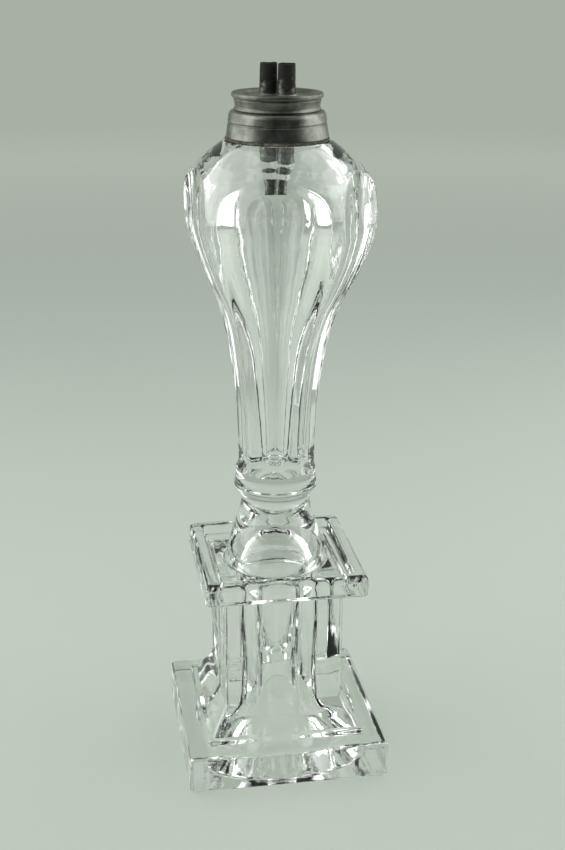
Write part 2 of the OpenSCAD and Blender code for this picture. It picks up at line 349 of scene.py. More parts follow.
def matt_material(name, stops, cloud_mm, grain_mm, grain_height_mm, roughness):
    """A dull stained material, such as old plaster or leather: clouds of colour, a fine grain."""
    material, tree, output, coords = new_material(name)
    cloud = add_node(tree, "ShaderNodeTexNoise", {
        "Vector": coords, "Scale": pattern_scale(cloud_mm), "Detail": 5.0, "Roughness": 0.65})
    colour = add_node(tree, "ShaderNodeValToRGB", {"Fac": cloud.outputs["Fac"]}, stops)
    grain = add_node(tree, "ShaderNodeTexNoise", {
        "Vector": coords, "Scale": pattern_scale(grain_mm), "Detail": 3.0, "Roughness": 0.7})
    grainy = add_node(tree, "ShaderNodeBump", {
        "Height": grain.outputs["Fac"], "Distance": grain_height_mm * MM})
    shader = add_node(tree, "ShaderNodeBsdfPrincipled", {
        "Base Color": colour.outputs["Color"], "Roughness": roughness,
        "Normal": grainy.outputs["Normal"]})
    tree.links.new(shader.outputs["BSDF"], output.inputs["Surface"])
    return material


def braided_cotton():
    """Braided cotton wick: cream fibre, charred brown and then black towards the flame."""
    material, tree, output, coords = new_material("braided_cotton")
    place = add_node(tree, "ShaderNodeSeparateXYZ", {"Vector": coords})
    fibre = add_node(tree, "ShaderNodeTexNoise", {
        "Vector": coords, "Scale": pattern_scale(0.35), "Detail": 4.0, "Roughness": 0.7})
    ragged = add_node(tree, "ShaderNodeMath", {
        0: fibre.outputs["Fac"], 1: 1.5 * MM, 2: place.outputs["Z"]}, operation="MULTIPLY_ADD")
    char = add_node(tree, "ShaderNodeMapRange", {
        "Value": ragged.outputs["Value"], "From Min": (TUBE_TOP - 4) * MM,
        "From Max": (TUBE_TOP - 1) * MM})
    cotton = add_node(
        tree, "ShaderNodeValToRGB", {"Fac": char.outputs["Result"]},
        [(0.0, "#cdbf9f"), (0.35, "#6b4d2c"), (0.7, "#15130f")])
    braid = add_node(tree, "ShaderNodeBump", {
        "Height": fibre.outputs["Fac"], "Distance": 0.12 * MM})
    shader = add_node(tree, "ShaderNodeBsdfPrincipled", {
        "Base Color": cotton.outputs["Color"], "Roughness": 0.9,
        "Normal": braid.outputs["Normal"]})
    tree.links.new(shader.outputs["BSDF"], output.inputs["Surface"])
    return material


# Levels of the lamp in millimetres, from the frame

WAFER_Z = level("wafer")
FONT_Z = level("wafer", top=True)
NECK_TOP = level("font", top=True)
SHOULDER_Z = level("cement_ring")
COLLAR_Z = level("collar")
COLLAR_TOP = level("collar", top=True)
FLANGE_Z = level("burner_cap", top=True)
PLUG_Z = level("burner_cap")
TUBE_TOP = level("wick_tube_left", top=True)
TUBE_END = level("wick_tube_left")

# Height above the wafer at which the loops start to arch over
ARCH_SPRING = 100.4

# The shoulder's cone: how far its top lies inside the widest ridge, and how fast it widens
SHOULDER_INSET = 18.4
SHOULDER_SLOPE = 1.382

# Heights above the wafer between which the loops' flats, ridges and hollows grow to full size,
# and the share of it that ridges and hollows have lower down
FLAT_GROWS = (60.0, 110.0)
RIDGE_GROWS = (70.0, ARCH_SPRING)
HOLLOW_GROWS = (30.0, ARCH_SPRING)
LEAST_SHARE = 0.15

# Heights above the wafer between which the round foot of the font turns into loops
LOOPS_START = (3.0, 6.0)

# Height above the wafer at which the font leans furthest, and how far up and down it leans
LEAN_LEVEL = ARCH_SPRING - 10
LEAN_REACH = 26.0

# Stretch of the stem over which the font's turn eases in
TWIST_RISE = 20.0

# Share of a square's side that stays flat between two rounded corners' points
FLAT_SHARE = 0.7

# Width in millimetres over which one face of the font runs into the next
SOFT_EDGE = 0.35

# Air left between the glass and the floor, so that light enters and leaves the glass there
FLOOR_GAP = 0.05


class LampGlassSettings(bpy.types.PropertyGroup):
    """Sizes of the glass, in millimetres unless a description says otherwise."""

    foot_width: bpy.props.FloatProperty(
        name="Foot width", description="Side of the square foot", default=half_width("pedestal") * 2)
    foot_height: bpy.props.FloatProperty(
        name="Foot height", description="Height of the foot slab", default=16.0)
    step_width: bpy.props.FloatProperty(
        name="Step width", description="Side of the low step on the foot", default=65.6)
    step_height: bpy.props.FloatProperty(
        name="Step height", description="Height of that step", default=2.2)
    column_width: bpy.props.FloatProperty(
        name="Column width", description="Side of the square column", default=48.4)
    column_low: bpy.props.FloatProperty(
        name="Column foot", description="Height at which the column starts", default=28.6)
    cap_low: bpy.props.FloatProperty(
        name="Cap underside", description="Height of the cap plate's underside", default=78.6)
    cap_width: bpy.props.FloatProperty(
        name="Cap width", description="Side of the cap plate", default=65.6)
    cap_height: bpy.props.FloatProperty(
        name="Cap height", description="Height of the cap plate with its rolled rim", default=9.0)
    rim_width: bpy.props.FloatProperty(
        name="Rim width", description="Width of the rolled rim", default=5.6)
    sink: bpy.props.FloatProperty(
        name="Sink", description="Depth of the sunk square inside the rim", default=3.4)
    stem_radius: bpy.props.FloatProperty(
        name="Stem radius", description="Radius of the stem at the cap plate", default=21.2)
    waist_radius: bpy.props.FloatProperty(
        name="Waist radius", description="Radius of the stem under the wafer", default=14.0)
    hollow_radius: bpy.props.FloatProperty(
        name="Hollow radius", description="Radius of the plunger hollow in the column", default=16.4)
    mouth_radius: bpy.props.FloatProperty(
        name="Mouth radius", description="Radius of the hollow's mouth under the foot", default=34.0)
    corner_radius: bpy.props.FloatProperty(
        name="Corner radius", description="Rounding of the square parts' upright corners", default=1.8)
    loops: bpy.props.IntProperty(
        name="Loops", description="Number of arched loops round the font", default=5, min=4, max=8)
    font_turn: bpy.props.FloatProperty(
        name="Font turn", description="Turn of the font on its pedestal",
        default=math.radians(-12.4), subtype="ANGLE")
    font_radius: bpy.props.FloatProperty(
        name="Font radius", description="Radius of the ridges at the widest level", default=38.8)
    loop_hollow: bpy.props.FloatProperty(
        name="Loop hollow", description="Extra hollow in each loop past a flat face", default=1.6)
    loop_flat: bpy.props.FloatProperty(
        name="Loop flat", description="Flattening of the shoulder's edge over each loop", default=1.1)
    ridge_half: bpy.props.FloatProperty(
        name="Ridge half width", description="Half width of a ridge between two loops",
        default=math.radians(6.0), subtype="ANGLE")
    font_lean: bpy.props.FloatProperty(
        name="Font lean", description="How far the bulge leans to the right", default=1.3)
    neck_radius: bpy.props.FloatProperty(
        name="Neck radius", description="Radius of the neck inside the collar", default=16.4)
    bore_radius: bpy.props.FloatProperty(
        name="Bore radius", description="Radius of the neck's bore", default=13.0)
    segments: bpy.props.IntProperty(
        name="Segments", description="Points round the glass, a multiple of 20", default=240)


class LampMetalSettings(bpy.types.PropertyGroup):
    """Sizes and colours of the collar, the burner and its tubes."""

    collar_radius: bpy.props.FloatProperty(
        name="Collar radius", description="Radius of the collar's lower edge in millimetres",
        default=half_width("collar"))
    thread_radius: bpy.props.FloatProperty(
        name="Thread radius", description="Radius of the collar's bore in millimetres", default=11.1)
    thread_pitch: bpy.props.FloatProperty(
        name="Thread pitch", description="Rise of the burner in one turn in millimetres", default=1.5)
    flange_radius: bpy.props.FloatProperty(
        name="Flange radius", description="Radius of the burner's flange in millimetres",
        default=half_width("burner_cap"))
    tube_radius: bpy.props.FloatProperty(
        name="Tube radius", description="Outer radius of a wick tube in millimetres", default=3.5)
    tube_top_radius: bpy.props.FloatProperty(
        name="Tube top radius", description="Outer radius of a wick tube at its top in millimetres",
        default=3.2)
    bore_radius: bpy.props.FloatProperty(
        name="Tube bore radius", description="Radius of a wick tube's bore in millimetres", default=2.9)
    pewter_light: bpy.props.StringProperty(
        name="Worn pewter", description="sRGB hex colour of pewter that handling keeps bright",
        default="#8d8f86")
    pewter_dark: bpy.props.StringProperty(
        name="Dull pewter", description="sRGB hex colour of pewter dulled by age", default="#5c5e57")


class LampStageSettings(bpy.types.PropertyGroup):
    """The floor, the lights and the camera."""

    near_tone: bpy.props.StringProperty(
        name="Near floor", description="sRGB hex colour of the floor round the lamp", default="#c1c9c0")
    # Painted shade: the far floor's colour is darker than the near floor's, standing in for light that
    # falls off with distance
    far_shaded_tone: bpy.props.StringProperty(
        name="Far floor", description="sRGB hex colour of the floor in the distance", default="#a8b0a6")
    side_tone: bpy.props.StringProperty(
        name="Side walls", description="sRGB hex colour of the room that glass and metal mirror",
        default="#d4dad6")
    dark_tone: bpy.props.StringProperty(
        name="Dark front", description="sRGB hex colour of the dark room in front of the lamp",
        default="#3a3f40")
    fill: bpy.props.FloatProperty(
        name="Fill", description="Strength of the even fill light", default=0.62)
    side_power: bpy.props.FloatProperty(
        name="Side light", description="Power of each side softbox", default=3.6,
        subtype="POWER", unit="POWER")
    left_place: bpy.props.FloatVectorProperty(
        name="Left softbox", description="Where the left softbox stands",
        default=(-0.62, 0.10, 0.45), subtype="TRANSLATION", unit="LENGTH")
    right_place: bpy.props.FloatVectorProperty(
        name="Right softbox", description="Where the right softbox stands",
        default=(0.62, 0.05, 0.45), subtype="TRANSLATION", unit="LENGTH")
    softbox_width: bpy.props.FloatProperty(
        name="Softbox width", description="Width of each softbox", default=0.90,
        subtype="DISTANCE", unit="LENGTH")
    softbox_height: bpy.props.FloatProperty(
        name="Softbox height", description="Height of each softbox", default=0.85,
        subtype="DISTANCE", unit="LENGTH")
    aim: bpy.props.FloatVectorProperty(
        name="Aim", description="Point on the lamp that the softboxes face",
        default=(0.0, 0.0, 0.16), subtype="TRANSLATION", unit="LENGTH")
    floor_radius: bpy.props.FloatProperty(
        name="Floor radius", description="Radius of the paper sweep", default=14.0,
        subtype="DISTANCE", unit="LENGTH")
    camera_place: bpy.props.FloatVectorProperty(
        name="Camera", description="Where the camera stands", default=(-0.0863, -0.5199, 0.3299),
        subtype="TRANSLATION", unit="LENGTH")
    camera_turn: bpy.props.FloatProperty(
        name="Camera turn", description="Turn of the view to the right of the +Y axis",
        default=math.radians(9.717), subtype="ANGLE")
    camera_pitch: bpy.props.FloatProperty(
        name="Camera pitch", description="How far the camera looks down",
        default=math.radians(19.638), subtype="ANGLE")
    camera_roll: bpy.props.FloatProperty(
        name="Camera roll", description="Roll of the camera", default=math.radians(0.384),
        subtype="ANGLE")
    focal_length: bpy.props.FloatProperty(
        name="Focal length", description="Lens in millimetres on a 36 mm frame", default=58.93)


# Glass


def square_point(turn, half, corner):
    """A point on a rounded square, turn 0 to 1 round it from the middle of its +X side."""
    quarter = math.floor(turn * 4 + 0.5)
    s = turn * 4 - quarter
    flat = FLAT_SHARE / 2
    if abs(s) <= flat:
        x, y = half, (half - corner) * s / flat
    else:
        a = (abs(s) - flat) / (0.5 - flat) * math.pi / 4
        x = half - corner + corner * math.cos(a)
        y = math.copysign(half - corner + corner * math.sin(a), s)
    a = quarter * math.pi / 2
    return Vector((x * math.cos(a) - y * math.sin(a), x * math.sin(a) + y * math.cos(a)))


def pedestal_outline(g):
    """Hollow, underside, foot, column and cap, as (radius, height, squareness)."""
    hr, cap, foot = g.hollow_radius, g.cap_low, g.foot_width / 2
    step, column, plate = g.step_width / 2, g.column_width / 2, g.cap_width / 2
    step_z, rim_z = g.foot_height + g.step_height, g.cap_low + g.cap_height
    rim = g.rim_width / 2
    hollow = curve([
        (0, cap + 19.8), (hr - 11.4, cap + 18.4), (hr - 7, cap + 14), (hr - 3.8, cap + 7),
        (hr - 1.2, cap - 2), (hr, cap - 12), (hr, cap - 32), (hr, 28), (hr + 1.6, 16.6),
        (hr + 5.6, 9.6), (g.mouth_radius - 5, 3.6), (g.mouth_radius - 0.6, 0.5),
    ], 4)
    under = [(g.mouth_radius + 0.3, 0.08), (g.mouth_radius + 0.9, 0.0)]
    moulding = curve([
        (step - 2.4, step_z), (step - 4.6, step_z + 4.6),
        (column + 1.5, g.column_low - 2.4), (column, g.column_low + 0.6),
    ], 6)
    plinth = rounded([
        (foot - 3, 0, 0), (foot, 0, 1.4), (foot, g.foot_height, 1.6), (step, g.foot_height, 0.5),
        (step - 0.3, step_z, 0.7), (step - 2.4, step_z, 0),
    ])
    cap_part = rounded([
        (column, g.column_low + 0.6, 0), (column, cap, 2.4), (plate, cap, 1.2),
        (plate, rim_z, rim * 0.98), (plate - 2 * rim, rim_z, rim * 0.98),
        (plate - 2 * rim - 0.8, rim_z - g.sink, 0.8), (g.stem_radius + 2, rim_z - g.sink, 0),
    ], step=12.0)
    points = [(r, z, 0.0) for r, z in hollow + under]
    points += [(r, z, 1.0) for r, z in plinth[:-1] + moulding[:-1] + cap_part[:-1]]
    return points


def stem_outline(g):
    """Stem and wafer: (radius, height, squareness)."""
    z = g.cap_low + g.cap_height - g.sink
    sr, wr = g.stem_radius, g.waist_radius
    wafer = half_width("wafer")
    return [(r, h, 0.0) for r, h in curve([
        (sr + 1.0, z), (sr, z + 0.35), (sr - 1.3, z + 3.4), (sr - 2.4, z + 9), (sr - 4, z + 14.4),
        (wr + 1.5, z + 19.6), (wr + 0.2, z + 24.6), (wr, z + 27.6), (wr + 0.6, WAFER_Z),
        (wafer - 1.3, WAFER_Z + 1.3), (wafer - 0.2, WAFER_Z + 2.8), (wafer, WAFER_Z + 3.7),
        (wafer - 0.35, WAFER_Z + 4.8), (wafer - 0.8, FONT_Z),
    ], 4)]


def ridge_outline(g):
    """The font's ridges as (radius, height above the wafer), carried on past the shoulder's crease."""
    r, wafer = g.font_radius, half_width("wafer")
    return curve([
        (wafer - 0.8, 0), (wafer - 0.9, 1.5), (wafer - 0.9, 3), (r - 22.5, 6), (r - 22, 18),
        (r - 21.3, 31), (r - 19.7, 43.4), (r - 17.2, 55.8), (r - 14.8, 64), (r - 11.4, 72),
        (r - 7.4, 80), (r - 4.1, 88), (r - 1.6, 95.8), (r - 0.2, 103.4), (r - 0.1, 110.4),
        (r - 0.9, 115.4), (r - 2.3, 118.9), (r - 4.6, 121.9), (r - 7.3, 125.4),
        (r - 9.8, 128.9), (r - 13.3, SHOULDER_Z - FONT_Z),
    ], 8)


def font_rows(g):
    """The font's outline up to the shoulder's top, with close rows where the loops arch over."""
    ridge, rows, h = ridge_outline(g), [], 0.75
    while h < SHOULDER_Z - FONT_Z - 0.3:
        above = next(i for i, (_, z) in enumerate(ridge) if z > h)
        (r0, z0), (r1, z1) = ridge[above - 1], ridge[above]
        rows.append((r0 + (r1 - r0) * (h - z0) / (z1 - z0), FONT_Z + h))
        h += 0.75 if h < 7 else 2.4 if h < 90 else 1.2 if h < 104 else 0.55
    return rows


def neck_and_cavity(g):
    """Neck, its bore and the cavity down to its lowest point."""
    b = g.bore_radius
    neck = rounded([
        (g.font_radius - SHOULDER_INSET, SHOULDER_Z, 0), (g.neck_radius, SHOULDER_Z, 0.5),
        (g.neck_radius, NECK_TOP, 0.8), (b, NECK_TOP, 0.8), (b, SHOULDER_Z + 1, 0),
    ])[:-1]
    places = [
        (b, SHOULDER_Z + 1 - FONT_Z), (b + 1.6, 131.8), (b + 5.8, 127.4), (b + 10.4, 121),
        (b + 13.4, 114), (b + 14.4, 106), (b + 13.3, 97), (b + 10.4, 87), (b + 6.2, 77),
        (b + 1.4, 66), (b - 2.2, 54), (b - 4.1, 41), (b - 5.6, 28), (b - 6.6, 16),
        (b - 7.2, 9.4), (b - 9.2, 5.6), (0, 4.8),
    ]
    return neck + curve([(x, FONT_Z + h) for x, h in places], 4)


def lesser(a, b):
    """The lesser of two lengths, with the change from one to the other rounded off."""
    return (a + b - math.hypot(a - b, SOFT_EDGE)) / 2


def loop_radius(g, r, h, angle):
    """Radius of the font at height h above the wafer, at an angle from a loop's middle.

    It is the least of the shoulder's cone, the ridges' circle, a little flattened over each
    loop, and the loop itself, a scoop with an upright middle above the arch's spring.
    """
    shoulder = g.font_radius - SHOULDER_INSET + (SHOULDER_Z - FONT_Z - h) * SHOULDER_SLOPE
    flat = g.loop_flat * ramp(h, *FLAT_GROWS)
    body = r - flat * (0.5 + 0.5 * math.cos(g.loops * angle))
    low = min(h, ARCH_SPRING)
    ridge_share = LEAST_SHARE + (1 - LEAST_SHARE) * ramp(low, *RIDGE_GROWS)
    half = math.pi / g.loops - g.ridge_half * ridge_share
    widest = r if h < ARCH_SPRING else g.font_radius - 0.6
    hollow = g.loop_hollow * (LEAST_SHARE + (1 - LEAST_SHARE) * ramp(low, *HOLLOW_GROWS))
    middle = widest * math.cos(half) - hollow
    bend = hollow / (widest * math.sin(half)) ** 2
    under = math.cos(angle) ** 2 - 4 * bend * middle * math.sin(angle) ** 2
    scoop = 2 * middle / (math.cos(angle) + math.sqrt(max(under, 0.0)))
    cut = lesser(body, scoop) if under > 0 else body
    return lesser(body + (cut - body) * ramp(h, *LOOPS_START), shoulder)


def shape_glass(bm, g):
    """Squares the pedestal's rings and cuts the font's loops in the revolved glass."""
    squareness = bm.verts.layers.float["squareness"]
    ridge = bm.verts.layers.float["ridge"]
    pitch = math.tau / g.loops
    for v in bm.verts:
        r = math.hypot(v.co.x, v.co.y)
        turn = math.atan2(v.co.y, v.co.x)
        if v[squareness] > 0:
            v.co.xy = square_point(turn / math.tau, r, g.corner_radius)
            continue
        lean = 0.0
        if v[ridge] > 0.5:
            h = v.co.z - FONT_Z
            r = loop_radius(g, r, h, (turn + math.pi / 2 + pitch / 2) % pitch - pitch / 2)
            lean = g.font_lean * math.exp(-(((h - LEAN_LEVEL) / LEAN_REACH) ** 2))
        if v[ridge] >= 0:
            twist = g.font_turn * ramp(v.co.z, FONT_Z - TWIST_RISE, FONT_Z)
            place = Vector((r * math.cos(turn) + lean, r * math.sin(turn)))
            v.co.xy = Matrix.Rotation(twist, 2) @ place


class LAMP_OT_glass(bpy.types.Operator):
    """Makes the pedestal, wafer and font as the one piece of glass that they are once fused"""

    bl_idname = "lamp.glass"
    bl_label = "Glass"

    def execute(self, context):
        g = context.scene.lamp_glass
        pedestal, stem = pedestal_outline(g), stem_outline(g)
        font, inside = font_rows(g), neck_and_cavity(g)
        outline = [(r, z) for r, z, _ in pedestal + stem] + font + inside
        square = [s for _, _, s in pedestal + stem] + [0.0] * len(font + inside)
        hollow = sum(1 for _, _, s in pedestal if s == 0)
        ridge = [-1.0] * hollow + [0.0] * (len(pedestal + stem) - hollow)
        ridge += [1.0] * len(font) + [0.0] * len(inside)
        bm = bmesh.new()
        revolve(bm, outline, g.segments, [("squareness", square), ("ridge", ridge)])
        shape_glass(bm, g)
        finish_piece(bm, "lamp_glass", "lamp", clear_lead_glass(),
                     ("pedestal", "wafer", "font"))
        return {"FINISHED"}


class LAMP_OT_cement(bpy.types.Operator):
    """Makes the rough plaster that beds the collar on the neck"""

    bl_idname = "lamp.cement"
    bl_label = "Plaster"

    def execute(self, context):
        g, m = context.scene.lamp_glass, context.scene.lamp_metal
        lip = half_width("cement_ring")
        skirt = m.collar_radius - 1.3
        bm = bmesh.new()
        revolve(bm, rounded([
            (g.neck_radius + 0.02, SHOULDER_Z + 0.02, 0), (lip - 0.5, SHOULDER_Z + 0.02, 0.2),
            (lip - 0.12, SHOULDER_Z + 0.5, 0.3), (lip - 0.4, COLLAR_Z - 0.02, 0.2),
            (skirt - 0.02, COLLAR_Z - 0.02, 0), (skirt - 0.02, NECK_TOP, 0),
            (g.neck_radius + 0.02, NECK_TOP, 0), (g.neck_radius + 0.02, SHOULDER_Z + 0.02, 0),
        ], step=8.0), 360)
        roughen(bm, 0.22, 0.7, 3, lambda co: 1.0 if math.hypot(co.x, co.y) > skirt + 0.3 else 0.0)
        plaster = matt_material(
            "stained_plaster", [(0.3, "#2c2a24"), (0.5, "#575349"), (0.72, "#8a8575")],
            cloud_mm=2.2, grain_mm=0.35, grain_height_mm=0.25, roughness=0.92)
        finish_piece(bm, "plaster_ring", "lamp", plaster, ("cement_ring",))
        return {"FINISHED"}


class LAMP_OT_collar(bpy.types.Operator):
    """Makes the cast collar with its turned lines and threaded bore"""

    bl_idname = "lamp.collar"
    bl_label = "Collar"

    def execute(self, context):
        m = context.scene.lamp_metal
        r, t, skirt = m.collar_radius, m.thread_radius, m.collar_radius - 1.3
        z, top = COLLAR_Z, COLLAR_TOP
        outside = rounded([
            (skirt, z, 0), (r, z, 0.25), (r - 0.06, z + 0.7, 0.3), (r - 0.4, z + 2.6, 2),
            (r - 0.72, z + 4.9, 0.15), (r - 1.02, z + 5.15, 0.1), (r - 1.02, z + 5.6, 0.1),
            (r - 0.78, z + 5.9, 0.15), (r - 0.95, z + 6.8, 1), (r - 1.15, z + 8.3, 1),
            (r - 1.7, top - 0.5, 1.2), (r - 3.0, top, 0.5), (t + 0.5, top, 0.2),
        ], hold=0.12, step=10.0)
        bore = thread_bore(t, top - 0.4, z + 1.0, m.thread_pitch)
        inside = [
            (t + 1.2, z + 1.0), (t + 1.2, top - 2.2), (skirt - 1.0, top - 2.2),
            (skirt, NECK_TOP + 0.02), (skirt, z),
        ]
        bm = bmesh.new()
        revolve(bm, outside + bore + inside, 288)
        cut_thread(bm, t, m.thread_pitch, 0.35, z + 1.4, top - 0.6, 1)
        roughen(bm, 0.05, 9.0, 5, lambda co: 1.0 if math.hypot(co.x, co.y) > skirt - 3 else 0.0)
        pewter = aged_pewter("aged_cast_pewter", m.pewter_light, m.pewter_dark, 0.34)
        finish_piece(bm, "pewter_collar", "lamp", pewter, ("collar",))
        return {"FINISHED"}


def thread_bore(radius, top, bottom, pitch):
    """A cylinder's outline from its top to its bottom, fine enough to take a thread."""
    count = round((top - bottom) / pitch * 8)
    return [(radius, top + (bottom - top) * i / count) for i in range(count + 1)]


def cut_thread(bm, radius, pitch, depth, low, high, way):
    """Cuts a right-hand thread into the cylinder of that radius, outwards (1) or inwards (-1)."""
    for v in bm.verts:
        r = math.hypot(v.co.x, v.co.y)
        if abs(r - radius) > 0.02 or not low < v.co.z < high:
            continue
        phase = (v.co.z / pitch - math.atan2(v.co.y, v.co.x) / math.tau) % 1.0
        cut = depth * (1 - abs(2 * phase - 1)) * ramp(min(v.co.z - low, high - v.co.z), 0.0, 0.5)
        v.co.x *= (r + way * cut) / r
        v.co.y *= (r + way * cut) / r


class LAMP_OT_washer(bpy.types.Operator):
    """Gives the sealing washer its oiled leather"""

    bl_idname = "lamp.washer"
    bl_label = "Washer"

    def execute(self, context):
        leather = matt_material(
            "oiled_leather", [(0.35, "#2a1a10"), (0.65, "#4a2f1c")],
            cloud_mm=3.0, grain_mm=0.4, grain_height_mm=0.08, roughness=0.6)
        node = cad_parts["seal_washer"]
        node.data.materials.clear()
        node.data.materials.append(leather)
        return {"FINISHED"}


class LAMP_OT_burner(bpy.types.Operator):
    """Makes the burner with its thin flange, dished top and threaded plug"""

    bl_idname = "lamp.burner"
    bl_label = "Burner"

    def execute(self, context):
        m = context.scene.lamp_metal
        f, plug = m.flange_radius, m.thread_radius - 0.05
        seat, recess, dish = COLLAR_TOP + 0.1, COLLAR_TOP + 0.7, FLANGE_Z - 1.3
        inner = plug - 1.85
        recess_r = m.thread_radius + 4.1
        outline = rounded([
            (0, dish, 0), (f - 4.3, dish, 1.1), (f - 2.9, FLANGE_Z - 0.25, 0.5),
            (f - 1.6, FLANGE_Z, 0.4), (f - 0.2, FLANGE_Z, 0.3), (f, FLANGE_Z - 0.7, 0.4),
            (f - 0.05, FLANGE_Z - 1.5, 0.3),
            (f - 1.1, FLANGE_Z - 1.75, 0.15), (f - 0.75, seat + 3.9, 0.3), (f - 1.1, seat + 2.6, 1.5),
            (f - 1.32, seat + 1.1, 1.0), (f - 0.85, seat + 0.25, 0.3), (f - 0.95, seat, 0.1),
            (recess_r, seat, 0), (recess_r, recess, 0), (plug, recess, 0),
        ], hold=0.1, step=10.0)[:-1]
        outline += thread_bore(plug, recess, PLUG_Z + 0.3, m.thread_pitch)
        outline += rounded([
            (plug, PLUG_Z + 0.3, 0), (plug - 0.3, PLUG_Z, 0), (inner, PLUG_Z, 0.2),
            (inner, dish - 1.6, 0.4), (0, dish - 1.6, 0),
        ], hold=0.1)[1:]
        bm = bmesh.new()
        revolve(bm, outline, 288)
        cut_thread(bm, plug, m.thread_pitch, 0.4, PLUG_Z + 0.4, recess - 0.5, -1)
        roughen(bm, 0.09, 7.0, 8, lambda co: ramp(math.hypot(co.x, co.y), plug + 1.5, f - 1.0))
        pewter = aged_pewter("dull_cast_pewter", "#82847b", "#54564f", 0.4)
        finish_piece(bm, "pewter_burner", "burner", pewter, ("burner_cap",))
        return {"FINISHED"}


def tube_centre(side):
    """Axis of a wick tube, from the frame."""
    low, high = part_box(f"wick_tube_{side}")
    return (low + high) / 2 / MM


class LAMP_OT_tubes(bpy.types.Operator):
    """Makes the two wick tubes, a little out of round, with a lapped seam and a ragged top edge"""

    bl_idname = "lamp.tubes"
    bl_label = "Wick tubes"

    def execute(self, context):
        m = context.scene.lamp_metal
        metal = sooty_tube_metal()
        for seed, side in enumerate(("left", "right")):
            centre = tube_centre(side)
            r, top_r, bore = m.tube_radius - 0.06, m.tube_top_radius - 0.03, m.bore_radius + 0.02
            rise = [(r + (top_r - r) * ramp(z, FLANGE_Z, TUBE_TOP), z) for z in
                    [TUBE_END + 0.1 + (TUBE_TOP - TUBE_END - 0.3) * i / 70 for i in range(71)]]
            fall = [(bore, TUBE_TOP - 0.2), (bore, FLANGE_Z), (bore, TUBE_END + 0.1)]
            bm = bmesh.new()
            revolve(bm, rise + [((top_r + bore) / 2, TUBE_TOP - 0.14)] + fall + [rise[0]], 72)
            lap_seam(bm, bore + 0.1, math.radians(200 - 150 * seed))
            roughen(bm, 0.12, 4.0, seed + 11,
                    lambda co: 1.0 if math.hypot(co.x, co.y) > bore + 0.1 else 0.0)
            ragged_edge(bm, TUBE_TOP - 0.5, 0.35, seed)
            bmesh.ops.translate(bm, verts=bm.verts[:], vec=(centre.x, centre.y, 0))
            finish_piece(
                bm, f"tinned_tube_{side}", "burner", metal, (f"wick_tube_{side}",))
        return {"FINISHED"}


def lap_seam(bm, inner, at):
    """Lowers the tube's skin on one side of a straight seam."""
    for v in bm.verts:
        r = math.hypot(v.co.x, v.co.y)
        if r < inner:
            continue
        away = (math.atan2(v.co.y, v.co.x) - at) % math.tau
        cut = 0.16 * max(0.0, 1 - away / 1.2)
        v.co.x *= (r - cut) / r
        v.co.y *= (r - cut) / r


def ragged_edge(bm, low, depth, seed):
    """Wears the top edge unevenly."""
    for v in bm.verts:
        if v.co.z > low:
            wear = noise.noise(Vector((v.co.x, v.co.y, seed * 7.0)) * 0.45)
            v.co.z -= depth * max(0.0, wear + 0.1) * ramp(v.co.z, low, TUBE_TOP)


class LAMP_OT_solder(bpy.types.Operator):
    """Makes the solder that runs round both tubes in the dish"""

    bl_idname = "lamp.solder"
    bl_label = "Solder"

    def execute(self, context):
        m = context.scene.lamp_metal
        low, high = level("tube_solder"), level("tube_solder", top=True)
        r = m.tube_radius
        bm = bmesh.new()
        for side in ("left", "right"):
            centre = tube_centre(side)
            ring = bmesh.new()
            revolve(ring, rounded([
                (r - 0.4, low - 0.15, 0), (r + 1.05, low - 0.15, 0.1), (r + 1.0, low + 0.05, 0.2),
                (r + 0.3, low + 0.35, 0.5), (r + 0.02, high, 0.1), (r - 0.4, high, 0),
                (r - 0.4, low - 0.15, 0),
            ]), 64)
            bmesh.ops.recalc_face_normals(ring, faces=ring.faces[:])
            bmesh.ops.translate(ring, verts=ring.verts[:], vec=(centre.x, centre.y, 0))
            part = bpy.data.meshes.new("solder_ring")
            ring.to_mesh(part)
            ring.free()
            bm.from_mesh(part)
            bpy.data.meshes.remove(part)
        solder = aged_pewter("dull_soft_solder", "#8a8b84", "#585a54", 0.45)
        piece = finish_piece(bm, "solder_fillet", "burner", solder, ("tube_solder",))
        remesh = piece.modifiers.new("run_together", "REMESH")
        remesh.mode = "VOXEL"
        remesh.voxel_size = 0.12 * MM
        remesh.use_smooth_shade = True
        smooth = piece.modifiers.new("melted", "SMOOTH")
        smooth.iterations = 4
        return {"FINISHED"}


class LAMP_OT_wicks(bpy.types.Operator):
    """Makes the braided cotton wicks inside the tubes"""

    bl_idname = "lamp.wicks"
    bl_label = "Wicks"

    def execute(self, context):
        cotton = braided_cotton()
        for side in ("left", "right"):
            low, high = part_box(f"wick_{side}")
            centre, r = (low + high) / 2 / MM, (high.x - low.x) / 2 / MM
            bottom, top = low.z / MM, high.z / MM
            count = 150
            rise = (top - 0.7 - bottom) / count
            body = [(r - 0.22, bottom + 0.1 + rise * i) for i in range(count + 1)]
            bm = bmesh.new()
            revolve(bm, [(0, bottom + 0.1)] + body + [(r - 0.7, top - 0.25), (0, top - 0.1)], 60)
            for v in bm.verts:
                turn, radius = math.atan2(v.co.y, v.co.x), math.hypot(v.co.x, v.co.y)
                if radius > r - 0.5:
                    climb = v.co.z * 1.9
                    strands = max(
                        abs(math.sin(turn * 4 + climb)), abs(math.sin(turn * 4 - climb)))
                    grow = 0.2 * strands / radius
                    v.co.x *= 1 + grow
                    v.co.y *= 1 + grow
            bmesh.ops.translate(bm, verts=bm.verts[:], vec=(centre.x, centre.y, 0))
            finish_piece(
                bm, f"cotton_wick_{side}", f"{side}_wick", cotton, (f"wick_{side}",))
        return {"FINISHED"}


# Stage


